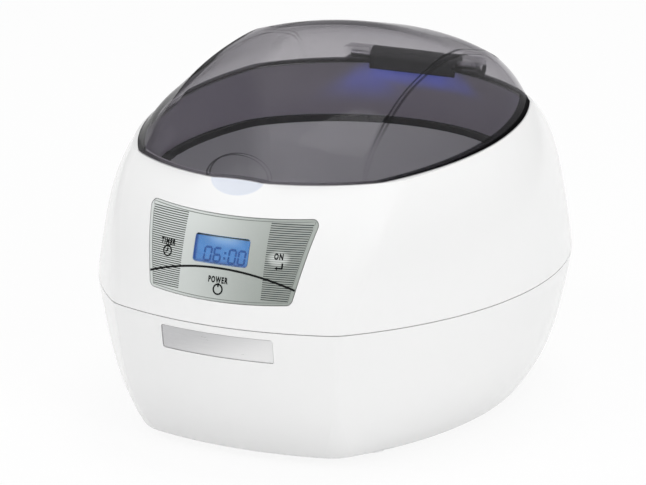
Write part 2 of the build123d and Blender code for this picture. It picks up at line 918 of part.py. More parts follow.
def make_case_screws():
    top = seam_height + screw_bite - 1
    length = top - case_screw_seat_z()
    return Compound([
        screw(x, y, top, length, screw_radius, screw_head_radius, screw_head_height)
        for x, y in mirrored_places(case_screw_x, case_screw_y)
    ])


# ================================ lid and hinge =============================================

def rim_prism(inset):
    """Upright block above the rim with the rim's outline, set in by inset."""
    lean = math.radians(rim_tilt)
    tilted = Plane(origin=(0, 0, rim_height), z_dir=(0, -math.sin(lean), math.cos(lean)))
    face = upper_form(inset) & (tilted * Rectangle(big, big))
    upwards = extrude(face, amount=big / 3, dir=(0, 0, 1))
    downwards = extrude(face, amount=rim_height / 3, dir=(0, 0, -1))
    return upwards + downwards


def lid_profile(inset):
    """Points of the lid's centre line, set in square to the line and measured from the rim."""
    points = [(share * rim_half_depth, height) for share, height in lid_line_front + lid_line_back]
    moved = []
    for i, (y, h) in enumerate(points):
        before, after = points[max(i - 1, 0)], points[min(i + 1, len(points) - 1)]
        dy, dh = after[0] - before[0], after[1] - before[1]
        length = math.hypot(dy, dh)
        moved.append((y + inset * dh / length, h - inset * dy / length))
    return moved


def lid_section(x, inset):
    """Outline of the rough lid in an upright plane at x."""
    lower = 1 - sagitta(lid_crown_radius, x) / lid_crown
    narrower = 1 - sagitta(lid_end_radius, x) / rim_half_depth
    points = []
    for y, h in lid_profile(inset):
        at = rim_centre_y + y * narrower
        points.append((x, at, rim_z(at) + h * lower))
    first, last = points[0], points[-1]
    corner_a, corner_b = (x, first[1] - lid_over, seam_height), (x, last[1] + lid_over, seam_height)
    top = Spline(*points)
    sides = [Line(corner_a, first), Line(last, corner_b), Line(corner_b, corner_a)]
    return Wire([top.edge()] + [side.edge() for side in sides])


def lid_band(inset):
    return Solid.make_loft([lid_section(share * rim_half_width, inset) for share in lid_stations])


def facet_outline(sign, height, lean, inset):
    """Outline of the lid's space along the rim plane at a height; one side is the facet's arc."""
    half = rim_half_width - lean - inset
    reach = 1.1 * rim_half_depth
    ends = half - sagitta(facet_radius + facet_flattening * height, reach)
    low, high = facet_centre_y - reach, facet_centre_y + reach
    far = -1.2 * sign * rim_half_width
    edges = [
        ThreePointArc((sign * ends, low), (sign * half, facet_centre_y), (sign * ends, high)),
        Line((sign * ends, high), (far, high)),
        Line((far, high), (far, low)),
        Line((far, low), (sign * ends, low)),
    ]
    return Pos(0, 0, rim_height) * Rot(rim_tilt, 0, 0) * Pos(0, 0, height) * Wire([e.edge() for e in edges])


def lid_side_form(sign, inset):
    """Block bounded by one side facet, set in square to the facet."""
    (low, low_lean), (high, high_lean) = facet_line[0], facet_line[-1]
    across = inset * math.hypot(1, (high_lean - low_lean) / (high - low))
    return Solid.make_loft([facet_outline(sign, height, lean, across) for height, lean in facet_line])


def lid_form(inset):
    block = lid_band(inset) & lid_side_form(1, inset) & lid_side_form(-1, inset)
    return block & rim_prism(lid_inset + inset)


def lug_span(sign):
    near = hinge_block_half + hinge_side_gap
    far = near + hinge_lug_width
    return (near, far) if sign > 0 else (-far, -near)


def lid_lugs():
    """Barrels that turn on the pin, each with an arm to the lid's rear wall."""
    z = hinge_axis_z()
    lugs = []
    for sign in (-1, 1):
        x0, x1 = lug_span(sign)
        top = z + hinge_barrel_radius
        arm = box_between(x0, x1, hinge_y() - lid_arm_length, hinge_y(), z - hinge_above_rim / 2, top)
        lugs.append(bar_x(hinge_barrel_radius, x0, x1, hinge_y(), z) + arm)
    return lugs


def make_lid():
    outer = lid_form(0) & above_rim(lid_gap)
    inner = lid_form(lid_wall) - scoop_form(lid_wall)
    lid = outer - inner
    lid = lid + fuse_all([lug - inner for lug in lid_lugs()])
    half = hinge_block_half + hinge_side_gap
    lid = lid - bar_x(hinge_barrel_radius + hinge_gap, -half, half, hinge_y(), hinge_axis_z())
    lid = lid - bar_x(hinge_pin_radius + hinge_pin_fit, -big / 4, big / 4, hinge_y(), hinge_axis_z())
    return lid - scoop_form()


def make_hinge_block():
    half = hinge_block_half
    low, z = hinge_block_low(), hinge_axis_z()
    body = box_between(-half, half, hinge_front_y(), big, low, z) & upper_form()
    block = body + bar_x(hinge_barrel_radius, -half, half, hinge_y(), z)
    block = block + fuse_all(peg_posts(hinge_peg_radius, low - hinge_peg_length))
    return block - bar_x(hinge_pin_radius, -big / 4, big / 4, hinge_y(), z)


def make_hinge_pin():
    reach = lug_span(1)[1] - hinge_gap
    return bar_x(hinge_pin_radius, -reach, reach, hinge_y(), hinge_axis_z())


# ================================ panel and display =========================================

def make_panel_overlay():
    skin = upper_form(panel_set_back) - upper_form(panel_set_back + panel_thickness)
    return (panel_prism() & skin) - window_prism(window_clearance)


def make_lcd_window():
    """Clear window: its front fills the panel's opening and its rim lies behind the panel."""
    back = panel_set_back + panel_thickness
    front = window_prism() & (upper_form(panel_set_back) - upper_form(back + window_flange_thickness))
    flange = window_prism(window_flange) & (upper_form(back) - upper_form(back + window_flange_thickness))
    return front + flange


def display_slice(high, low):
    """Block behind the window, as large as the window's rim, between two depths."""
    half_width = window_half_width + window_flange
    lean = math.cos(math.radians(display_lean))
    half_height = (window_top_z - window_bottom_z) / 2 * lean
    return display_block(-half_width, half_width, -half_height, half_height, -low, -high)


def make_lcd_module():
    return display_slice(display_depth, display_depth + module_thickness)


def make_lcd_backlight():
    return display_slice(display_depth + module_thickness, board_depth)


def make_display_board():
    back = board_depth + board_thickness
    board = display_block(-board_half_width, board_half_width, -board_low, board_high, -back, -board_depth)
    for x, y in board_boss_places():
        board = board - display_bar(x, y, board_screw_radius + lap_clearance, -big / 4, big / 4)
    return board


def make_display_board_screws():
    low = -board_depth - board_thickness
    screws = []
    for x, y in board_boss_places():
        shank = post(x, y, board_screw_radius, low, low + board_screw_length)
        screws.append(in_display(shank + post(x, y, board_screw_head, low - board_thickness, low)))
    return Compound(screws)


def make_key(name):
    """Plunger behind the panel: a cap under the film and a stem into the switch."""
    x, y, z = key_local(name)
    cap = display_bar(x, y, key_radius, z - panel_thickness - key_cap_length - panel_bed, 1)
    cap = cap & upper_form(panel_set_back + panel_thickness + key_film_gap)
    stem_end = board_thickness / 2 + key_travel - board_depth
    stem = display_bar(x, y, stem_radius, stem_end, z - panel_thickness - 1)
    return cap + stem


def make_key_switches():
    switches = []
    half = switch_size / 2
    for name in key_places:
        x, y, z = key_local(name)
        body = box_between(x - half, x + half, y - half, y + half, -board_depth, -board_depth + switch_height)
        bore = post(x, y, stem_radius + stem_clearance, -board_depth + board_thickness / 2, 0)
        switches.append(in_display(body - bore))
    return Compound(switches)


def make_beeper():
    low = -board_depth - board_thickness
    return in_display(post(board_boss_x / 2, -board_boss_down / 2, beeper_radius, low - beeper_height, low))


# ================================ inlet and electronics =====================================

def make_power_inlet():
    back = inlet_face_y + inlet_flange_thickness
    body = inlet_prism(0, inlet_face_y - inlet_depth, back) + inlet_prism(inlet_flange, inlet_face_y, back)
    for x in (-socket_pitch / 2, socket_pitch / 2):
        body = body - bar_y(socket_radius, back - socket_depth, back + 1, x, inlet_z)
        body = body - bar_y(inlet_tab_radius, 0, back, x, inlet_z)
    return body


def make_inlet_pins():
    low = inlet_face_y - inlet_depth - inlet_tab_length
    root = inlet_face_y + inlet_flange_thickness - socket_depth
    pins = []
    for x in (-socket_pitch / 2, socket_pitch / 2):
        tab = bar_y(inlet_tab_radius, low, root, x, inlet_z)
        pins.append(tab + bar_y(inlet_pin_radius, root, root + inlet_pin_length, x, inlet_z))
    return Compound(pins)


def board_z():
    return floor_top_z() + standoff_height


def board_top_z():
    return board_z() + power_board_thickness


def make_power_board():
    half = power_board_half
    board = box_between(-half, half, power_board_front, power_board_back, board_z(), board_top_z())
    for x, y in standoff_places():
        board = board - post(x, y, screw_radius, board_z() - 1, board_top_z() + 1)
    return board


def make_power_board_screws():
    screws = []
    for x, y in standoff_places():
        shank = post(x, y, standoff_bore, floor_top_z() + 1, board_top_z())
        screws.append(shank + post(x, y, screw_head_radius, board_top_z(), board_top_z() + screw_head_height))
    return Compound(screws)


def make_board_connectors():
    places = [(header_place, header_size), (plug_place, plug_size), (terminal_place, terminal_size)]
    return Compound([box_on(place, size, board_top_z()) for place, size in places])


def core_windows(grow):
    """The two windows of the transformer core, running along Y."""
    x, y = core_place
    width, depth, height = core_size
    z0, z1 = board_top_z() + core_leg, board_top_z() + height - core_leg
    y0, y1 = y - depth / 2 - grow, y + depth / 2 + grow
    left = box_between(x - width / 2 + core_leg, x - core_leg / 2 - 1, y0, y1, z0, z1)
    right = box_between(x + core_leg / 2 + 1, x + width / 2 - core_leg, y0, y1, z0, z1)
    return left, right


def make_transformer_core():
    left, right = core_windows(1)
    return box_on(core_place, core_size, board_top_z()) - left - right


def make_transformer_coil():
    x, y = core_place
    width, depth, height = core_size
    reach = width / 2 - core_leg - coil_gap
    z0, z1 = board_top_z() + core_leg + coil_gap, board_top_z() + height - core_leg - coil_gap
    out = depth / 2 + core_leg / 2
    coil = box_between(x - reach, x + reach, y - out, y + out, z0, z1)
    limb = core_leg / 2 + 1 + coil_gap
    half = depth / 2 + coil_gap
    return coil - box_between(x - limb, x + limb, y - half, y + half, z0 - 1, z1 + 1)


def make_heat_sink():
    x, y = sink_place
    width, depth, height = sink_size
    z = board_top_z()
    sink = box_on(sink_place, sink_size, z)
    for i in range(sink_fin_count):
        at = x - width / 2 + i * (width - sink_fin_thickness) / (sink_fin_count - 1)
        low_y = y - depth / 2 - sink_fin_depth
        sink = sink + box_between(at, at + sink_fin_thickness, low_y, y, z, z + height)
    return sink


def make_power_transistor():
    x, y = sink_place
    back = y + sink_size[1] / 2
    z = board_top_z() + chip_lift
    width, depth, height = chip_size
    body = box_between(x - width / 2, x + width / 2, back, back + depth, z, z + height)
    middle = back + depth / 2
    for i in (-1, 0, 1):
        low_x = x + i * width / 4 - chip_leg / 2
        body = body + box_between(low_x, low_x + chip_leg, middle, middle + chip_leg, board_top_z(), z)
    return body


def make_filter_capacitor():
    can = post(*capacitor_place, capacitor_radius, board_top_z(), board_top_z() + capacitor_height)
    return fillet(can.faces().sort_by(Axis.Z)[-1].edges(), capacitor_radius / 5)


def make_choke():
    return Pos(*choke_place, board_top_z() + choke_tube) * Torus(choke_radius, choke_tube)


def make_fuse():
    x, y = fuse_place
    return bar_x(fuse_radius, x - fuse_length / 2, x + fuse_length / 2, y, board_top_z() + fuse_lift)


def make_fuse_clips():
    x, y = fuse_place
    z = board_top_z() + fuse_lift
    half = fuse_radius + fuse_clip_clearance + fuse_clip_wall
    clips = []
    for side in (-1, 1):
        near = x + side * (fuse_length - fuse_clip_width) / 2 - fuse_clip_width / 2
        far = near + fuse_clip_width
        clip = box_between(near, far, y - half, y + half, board_top_z(), z + fuse_radius / 2)
        clip = clip - bar_x(fuse_radius + fuse_clip_clearance, near - 1, far + 1, y, z)
        inner = fuse_radius - fuse_clip_wall
        clip = clip - box_between(near - 1, far + 1, y - inner, y + inner, z, 2 * z)
        clips.append(clip)
    return Compound(clips)


def lead(points, radius, way):
    """Round wire bent smoothly through the points; it starts and ends along the same way."""
    path = Spline(*points, tangents=(way, way))
    start = path ^ 0
    ring = Plane(origin=start.position, z_dir=path % 0) * Circle(radius)
    return sweep(ring, path=path)


def make_mains_leads():
    x0 = socket_pitch / 2
    y0 = inlet_face_y - inlet_depth - inlet_tab_length
    y1 = terminal_place[1] + terminal_size[1] / 2
    z1 = board_top_z() + terminal_size[2] / 2
    middle = (y0 + y1) / 2
    wires = []
    for x in (-x0, x0):
        points = [(x, y0, inlet_z), (x, middle + 1, inlet_z - 2), (x, middle - 1, z1 + 2), (x, y1, z1)]
        wires.append(lead(points, lead_radius, (0, -1, 0)))
    return Compound(wires)


def make_transducer_leads():
    px, py = plug_place
    top = board_top_z() + plug_size[2]
    wires = []
    for side in (-1, 1):
        end = (side * plug_size[0], -plug_size[1], electrode_bottom_z())
        start = (px + side * plug_size[0] / 4, py, top)
        bend = ((start[0] + end[0]) / 2, (start[1] + end[1]) / 2, (start[2] + end[2]) / 2)
        wires.append(lead([start, bend, end], lead_radius, (0, 0, 1)))
    return Compound(wires)


def make_display_ribbon():
    """Flat cable from the display board down and back under the tank to the power board."""
    top_z = window_middle_z() - board_low / 2
    y0, y1 = -ribbon_back, header_place[1]
    points = [(y0, top_z), (y0, ribbon_z), (y1, ribbon_z), (y1, board_top_z() + header_size[2])]
    line = FilletPolyline(*points, radius=lead_bend / 2)
    strip = trace(line, ribbon_thickness)
    upright = Plane(origin=(ribbon_x - ribbon_width / 2, 0, 0), x_dir=(0, 1, 0), z_dir=(1, 0, 0))
    return extrude(upright * strip, amount=ribbon_width)


# ================================ write the pieces ==========================================

pieces = {
    "upper_shell": make_upper_shell,
    "lower_shell": make_lower_shell,
    "lid": make_lid,
    "hinge_block": make_hinge_block,
    "hinge_pin": make_hinge_pin,
    "tank": make_tank,
    "tank_gasket": make_tank_gasket,
    "tank_clamp_ring": make_tank_clamp_ring,
    "clamp_screws": make_clamp_screws,
    "transducer_bond": make_transducer_bond,
    "transducer_disc": make_transducer_disc,
    "transducer_electrode": make_transducer_electrode,
    "tank_lights": make_tank_lights,
    "panel_overlay": make_panel_overlay,
    "lcd_window": make_lcd_window,
    "lcd_module": make_lcd_module,
    "lcd_backlight": make_lcd_backlight,
    "display_board": make_display_board,
    "display_board_screws": make_display_board_screws,
    "key_switches": make_key_switches,
    "beeper": make_beeper,
    "name_plate": make_name_plate,
    "rubber_feet": make_rubber_feet,
    "case_screws": make_case_screws,
    "power_inlet": make_power_inlet,
    "inlet_pins": make_inlet_pins,
    "power_board": make_power_board,
    "power_board_screws": make_power_board_screws,
    "board_connectors": make_board_connectors,
    "transformer_core": make_transformer_core,
    "transformer_coil": make_transformer_coil,
    "heat_sink": make_heat_sink,
    "power_transistor": make_power_transistor,
    "filter_capacitor": make_filter_capacitor,
    "choke": make_choke,
    "fuse": make_fuse,
    "fuse_clips": make_fuse_clips,
    "mains_leads": make_mains_leads,
    "transducer_leads": make_transducer_leads,
    "display_ribbon": make_display_ribbon,
}

os.makedirs("parts", exist_ok=True)
for node, make in pieces.items():
    export_step(make(), "parts/" + node + ".step")
for key in key_places:
    export_step(make_key(key), "parts/" + key + "_key.step")
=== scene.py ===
"""The look of the contact lens cleaner: materials, printed details, studio and camera.

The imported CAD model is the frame. Its axes are kept: +X right, -Y to the front, +Z up, with the
origin on the table under the middle of the case. Blender's lengths are metres; values under a
heading that says millimetres are turned into metres with MM where they are used.
"""
import math

import bpy
from mathutils import Matrix, Vector
from mathutils.bvhtree import BVHTree


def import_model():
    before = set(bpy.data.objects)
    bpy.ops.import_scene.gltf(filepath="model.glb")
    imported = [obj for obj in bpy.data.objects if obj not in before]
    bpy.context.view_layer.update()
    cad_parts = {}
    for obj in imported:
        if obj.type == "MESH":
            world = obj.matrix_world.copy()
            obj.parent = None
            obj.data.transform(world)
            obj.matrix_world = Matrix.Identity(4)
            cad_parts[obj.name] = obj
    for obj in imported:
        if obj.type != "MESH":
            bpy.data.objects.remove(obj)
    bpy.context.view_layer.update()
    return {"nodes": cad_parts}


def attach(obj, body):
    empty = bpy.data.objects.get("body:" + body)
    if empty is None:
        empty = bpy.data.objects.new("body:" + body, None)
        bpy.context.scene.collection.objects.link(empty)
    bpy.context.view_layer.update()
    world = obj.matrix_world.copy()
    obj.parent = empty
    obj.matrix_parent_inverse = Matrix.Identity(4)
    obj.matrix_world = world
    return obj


MM = 0.001
X, Y, Z = 0, 1, 2

# --- camera -------------------------------------------------------------------------------
PICTURE_WIDTH = 646              # pixels
AZIMUTH = math.radians(25.99)    # to the right of straight ahead
ELEVATION = math.radians(16.59)
FOCAL_PIXELS = 3449.0
CAMERA_DISTANCE = 1.3265
AIM_HEIGHT = 0.055               # the camera aims near the middle of the seam
AIM_LEFT = 0.004465
AIM_UP = 0.004477
SENSOR = 36.0
CLIP_END = 20.0

# --- studio -------------------------------------------------------------------------------
FLOOR_HALF = 3.0
FLOOR_TONE = 0.86
FLOOR_WHITE = 0.90               # share of plain white where the floor is looked at
WORLD_LIGHT = 0.62
# each lamp: place, the point it aims at, size, watts
LAMPS = {
    "key": ((-0.9, -1.1, 1.3), (0, 0, 0.06), (0.9, 0.7), 6.4),
    "fill": ((1.4, -0.8, 0.9), (0, 0, 0.06), (0.7, 0.9), 7.6),
    "top": ((0.1, 0.3, 1.7), (0, 0, 0.08), (0.9, 0.6), 7.5),
}

# --- case, millimetres ----------------------------------------------------------------------
SCOOP_MIDDLE = (0.0, -95.4, 118.9)   # the egg shape that cuts the finger scoop
SCOOP_HALF = (35.0, 21.4, 21.4)
FUNNEL_MIDDLE = -2.0             # of the funnel's oval, along y
FUNNEL_HALF = (67.5, 74.5)
# painted blue light from the tank lights, glowing on the funnel's rear wall; each edge: axis, from,
# to, share before, share after
GLOW_REAR = ((Y, 35.0, 60.0, 0.0, 1.0),)
GLOW_PATCH = ((X, -46.0, -24.0, 0.0, 1.0), (X, -16.0, 0.0, 1.0, 0.0), (Z, 96.0, 108.5, 0.0, 0.8))
GLOW_BAND = ((X, -30.0, -14.0, 0.0, 1.0), (X, 0.0, 45.0, 1.0, 0.45), (Z, 103.6, 108.8, 0.0, 1.0))
GLOW_POWER = 0.45
GLOW_BLUE = (0.0, 0.06, 0.75, 1.0)

# --- smoked lid, millimetres -----------------------------------------------------------------
RIM_HEIGHT = 109.2
RIM_SLOPE = 0.05766
LID_FOOT = 1.4                   # the painted shade at the lid's edge ends at this height above the rim, in the middle
LID_FOOT_SOFT = 0.5
LID_FOOT_SLOPE = 0.011           # it is wider towards the back
LID_TINT = (0.740, 0.730, 0.745)
LID_SHADE = (0.27, 0.245, 0.30)  # what the lid lets through to light the inside
# colour of the painted shade at the lid's foot, creases and scoop
LID_PAINTED_SHADE = (0.012, 0.011, 0.014)
LID_DENSITY = 50.0
ARC_FOOT = 104.9                 # painted shade in a fine line round the scoop, as an oval seen from the front
ARC_RISE = 7.6
ARC_REACH = 12.6
ARC_LEAN = 0.3
ARC_LINE = (0.02, 0.085)         # from full painted shade to none, as a share of the oval
ARC_EDGES = ((X, -4.0, 9.0, 1.0, 0.25), (Y, -65.0, -55.0, 1.0, 0.0))
CREASE_HALF = 41.6               # the creases' distance from the middle, at their narrowest
CREASE_MIDDLE = 12.0
CREASE_BEND = 0.00042
CREASE_LINE = (0.12, 0.60)       # from full painted shade to none
CREASE_FADE = (9.0, 19.0)        # height above the rim over which the line appears

# --- printed front panel, millimetres, as seen from the front ------------------------------
PANEL_TOP = 94.5
PANEL_TOP_HALF = 34.2
PANEL_BOTTOM = 65.4
PANEL_BOTTOM_HALF = 28.4
PANEL_TOP_SAG = 0.9
PANEL_BOTTOM_SAG = 1.2
BORDER_INSET = 0.75
BORDER_WIDTH = 0.28
HATCH_BOTTOM = 66.6
HATCH_TOP = 92.6
HATCH_LINES = 36
HATCH_LINE = 0.31
HATCH_EDGE = 1.5                 # from the panel's slanted edge
HATCH_LEFT_INNER = -15.8
HATCH_RIGHT_INNER = 17.4
BOW_HALF = 29.3                  # the arched line across the panel
BOW_ENDS = 70.5
BOW_TOP = 75.8
BOW_WIDTH = 0.74
WORD_HEIGHT = 2.15
WORD_SIZE = 1.37                 # font size over the height of its capitals
WORD_SPACING = 1.26
WORD_WEIGHT = 0.065
# each word: x, z, width
WORDS = {"TIMER": (-22.5, 80.8, 6.6), "POWER": (0.4, 70.7, 7.9), "ON": (22.2, 80.8, 3.3)}
DOME_MIDDLE = (22.2, 81.0)       # soft rise round the ON key, x and z, which carries a painted highlight
DOME_HALF = (4.8, 3.2)
CLOCK_AT = (-22.4, 78.6)
POWER_AT = (0.6, 68.4)
ENTER_AT = (22.6, 78.2)
ICON_RADIUS = 1.75
ICON_LINE = 0.58
INK_LIFT = 0.03                  # ink stands this far off the film
MARK_LIFT = 0.06                 # words and marks lie over the stripes

# --- display, millimetres --------------------------------------------------------------------
LCD_MIDDLE = 81.5
LCD_HALF = (11.2, 5.2)
DIGITS = "06:00"
DIGITS_LEFT = -7.4
DIGITS_BOTTOM = 77.15
DIGIT_WIDTH = 2.6
DIGIT_HEIGHT = 4.6
DIGIT_LINE = 0.80
DIGIT_PITCH = 3.8
DIGIT_GAP = 0.05                 # of a bar's end to the corner, in bar widths
DIGIT_POINT = 0.45               # of a bar's shoulder to the corner, in bar widths
DIGIT_SLANT = 0.08
COLON_PITCH = 2.2
COLON_DOTS = (0.3, 0.7)          # heights, as shares of a digit's

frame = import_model()
nodes = frame["nodes"]
scene = bpy.context.scene


# ================================ node helpers =============================================

class Tree:
    """A node tree with short calls for the nodes used here."""

    def __init__(self, owner, output):
        owner.use_nodes = True
        self.tree = owner.node_tree
        self.tree.nodes.clear()
        self.out = self.node(output)

    def node(self, kind, **settings):
        made = self.tree.nodes.new(kind)
        for key, value in settings.items():
            setattr(made, key, value)
        return made

    def link(self, source, target):
        self.tree.links.new(source, target)

    def math(self, operation, a, b=None):
        made = self.node("ShaderNodeMath", operation=operation)
        for socket, value in zip(made.inputs, (a, b)):
            if value is None:
                continue
            if isinstance(value, (int, float)):
                socket.default_value = value
            else:
                self.link(value, socket)
        return made.outputs[0]

    def product(self, first, *others):
        for other in others:
            first = self.math("MULTIPLY", first, other)
        return first

    def light(self, kind, tone, strength=None):
        """A grey shader of the given kind."""
        made = self.node(kind)
        made.inputs["Color"].default_value = (tone, tone, tone, 1)
        if strength is not None:
            made.inputs["Strength"].default_value = strength
        return made.outputs[0]

    def show(self, amount, shader, other):
        """The tree's result: shader where amount is 0, other where it is 1."""
        made = self.node("ShaderNodeMixShader")
        for socket, source in zip(made.inputs, (amount, shader, other)):
            self.link(source, socket)
        self.link(made.outputs[0], self.out.inputs["Surface"])

    def path(self, name):
        return self.node("ShaderNodeLightPath").outputs[name]


class Shader(Tree):
    """A material on one Principled shader."""

    def __init__(self, name):
        self.material = bpy.data.materials.new(name)
        super().__init__(self.material, "ShaderNodeOutputMaterial")
        self.body = self.node("ShaderNodeBsdfPrincipled")
        self.link(self.body.outputs["BSDF"], self.out.inputs["Surface"])

    def place(self):
        """Position on the piece, in metres."""
        return self.node("ShaderNodeTexCoord").outputs["Object"]

    def axis(self, index):
        split = self.node("ShaderNodeSeparateXYZ")
        self.link(self.place(), split.inputs[0])
        return split.outputs[index]

    def noise(self, scale, detail=3.0, stretch=(1, 1, 1)):
        """Grey noise between 0 and 1; scale counts features per metre."""
        mapping = self.node("ShaderNodeMapping")
        mapping.inputs["Scale"].default_value = stretch
        self.link(self.place(), mapping.inputs["Vector"])
        made = self.node("ShaderNodeTexNoise")
        made.inputs["Scale"].default_value = scale
        made.inputs["Detail"].default_value = detail
        self.link(mapping.outputs[0], made.inputs["Vector"])
        return made.outputs["Fac"]

    def ramp(self, value, low, high, start=0.0, end=1.0):
        """Carries value from start..end over to low..high, smoothly."""
        made = self.node("ShaderNodeMapRange", interpolation_type="SMOOTHSTEP")
        self.link(value, made.inputs["Value"])
        limits = {"From Min": start, "From Max": end, "To Min": low, "To Max": high}
        for key, number in limits.items():
            made.inputs[key].default_value = number
        return made.outputs["Result"]

    def edges(self, *steps):
        """Product of soft edges: axis, from, to (millimetres), share before, share after."""
        return self.product(*(
            self.ramp(self.axis(index), before, after, start * MM, end * MM)
            for index, start, end, before, after in steps
        ))

    def oval(self, *terms):
        """1 on an oval and more outside it; each term: value, middle and half in millimetres."""
        total = None
        for value, middle, half in terms:
            off = self.math("SUBTRACT", value, middle * MM)
            share = self.math("ABSOLUTE", self.math("DIVIDE", off, half * MM))
            square = self.math("POWER", share, 2.0)
            total = square if total is None else self.math("ADD", total, square)
        return total

    def blend(self, amount, a, b):
        """Colour between a and b; each is a colour or a socket."""
        made = self.node("ShaderNodeMix", data_type="RGBA")
        self.link(amount, made.inputs["Factor"])
        for socket, value in ((made.inputs[6], a), (made.inputs[7], b)):
            if isinstance(value, tuple):
                socket.default_value = (*value, 1.0)
            else:
                self.link(value, socket)
        return made.outputs[2]

    def bump(self, height, distance):
        made = self.node("ShaderNodeBump")
        made.inputs["Distance"].default_value = distance
        made.inputs["Strength"].default_value = 1.0
        self.link(height, made.inputs["Height"])
        self.link(made.outputs["Normal"], self.body.inputs["Normal"])

    def set(self, **values):
        for key, value in values.items():
            self.body.inputs[key.replace("_", " ")].default_value = value

    def feed(self, key, socket):
        self.link(socket, self.body.inputs[key])


def shade(color, factor):
    return tuple(min(1.0, c * factor) for c in color)


def moulded(name, color, rough, grain=900.0, grain_depth=0.02, tone=0.05, coat=0.0):
    """Moulded plastic or rubber: fine grain, a little unevenness in tone and gloss."""
    made = Shader(name)
    cloud = made.noise(40.0, 4.0)
    made.feed("Base Color", made.blend(cloud, shade(color, 1 - tone), shade(color, 1 + tone)))
    made.feed("Roughness", made.ramp(made.noise(150.0), rough * 0.85, rough * 1.15))
    made.bump(made.noise(grain, 2.0), grain_depth * MM)
    made.set(Coat_Weight=coat, Coat_Roughness=0.08)
    return made.material


def metal(name, color, rough, stretch=(1, 1, 1), tone=0.1):
    """Bare metal with drawn lines along the direction that stretch leaves short."""
    made = Shader(name)
    lines = made.noise(2500.0, 3.0, stretch)
    made.feed("Base Color", made.blend(lines, shade(color, 1 - tone), shade(color, 1 + tone)))
    made.feed("Roughness", made.ramp(lines, rough * 0.8, rough * 1.25))
    made.bump(lines, 0.01 * MM)
    made.set(Metallic=1.0)
    return made.material


# ================================ materials of the case ====================================

def case_white():
    """Glossy white ABS, with painted bluish shade in the scoop and painted blue light glowing on
    the funnel's rear wall.
    """
    made = Shader("case_white")
    plain = made.blend(made.noise(12.0, 3.0), (0.875, 0.878, 0.88), (0.905, 0.905, 0.90))
    scoop = made.oval(*((made.axis(i), SCOOP_MIDDLE[i], SCOOP_HALF[i]) for i in (X, Y, Z)))
    # painted shade: the case turns darker and bluish inside the scoop
    scoop_shade = made.ramp(scoop, 1.0, 0.0, 1.005, 1.03)
    made.feed("Base Color", made.blend(scoop_shade, plain, (0.72, 0.755, 0.83)))
    made.feed("Roughness", made.ramp(made.noise(60.0), 0.20, 0.27))
    made.bump(made.noise(700.0, 2.0), 0.006 * MM)
    made.set(Coat_Weight=0.25, Coat_Roughness=0.06)
    funnel = made.oval(
        (made.axis(X), 0.0, FUNNEL_HALF[0]),
        (made.axis(Y), FUNNEL_MIDDLE, FUNNEL_HALF[1]),
    )
    inside = made.ramp(funnel, 1.0, 0.0, 1.00, 1.03)
    spots = made.math("MAXIMUM", made.edges(*GLOW_PATCH), made.edges(*GLOW_BAND))
    streaks = made.ramp(made.noise(130.0, 2.0, (1.0, 0.3, 0.15)), 0.75, 1.0, 0.35, 0.6)
    # painted blue light: the wall itself emits the tank lights' glow
    glow = made.product(inside, made.edges(*GLOW_REAR), spots, streaks, GLOW_POWER)
    made.feed("Emission Strength", glow)
    made.set(Emission_Color=GLOW_BLUE)
    return made.material


def lid_foot_shade(made, above):
    """1 on the painted shade along the lid's edge just above the rim."""
    edge = made.math("SUBTRACT", above, made.math("MULTIPLY", made.axis(Y), LID_FOOT_SLOPE))
    return made.ramp(edge, 1.0, 0.0, (LID_FOOT - LID_FOOT_SOFT) * MM, LID_FOOT * MM)


def lid_crease_shade(made, above):
    """Painted shade in a fine dark line along both creases, strong near the top."""
    off = made.math("SUBTRACT", made.axis(Y), CREASE_MIDDLE * MM)
    bend = made.product(off, off, CREASE_BEND / MM)
    middle = made.math("ADD", bend, CREASE_HALF * MM)
    aside = made.math("SUBTRACT", made.math("ABSOLUTE", made.axis(X)), middle)
    full, none = (width * MM for width in CREASE_LINE)
    line = made.ramp(made.math("ABSOLUTE", aside), 0.92, 0.0, full, none)
    start, end = (height * MM for height in CREASE_FADE)
    return made.math("MULTIPLY", line, made.ramp(above, 0.1, 1.0, start, end))


def lid_scoop_shade(made):
    """Painted shade in a fine dark line round the lid's half of the scoop, fainter to the right."""
    up = made.math("SUBTRACT", made.axis(Z), ARC_FOOT * MM)
    across = made.math("ADD", made.axis(X), made.math("MULTIPLY", up, ARC_LEAN))
    oval = made.oval((across, 0.0, ARC_REACH), (up, 0.0, ARC_RISE))
    ring = made.math("ABSOLUTE", made.math("SUBTRACT", oval, 1.0))
    return made.product(made.ramp(ring, 0.85, 0.0, *ARC_LINE), made.edges(*ARC_EDGES))


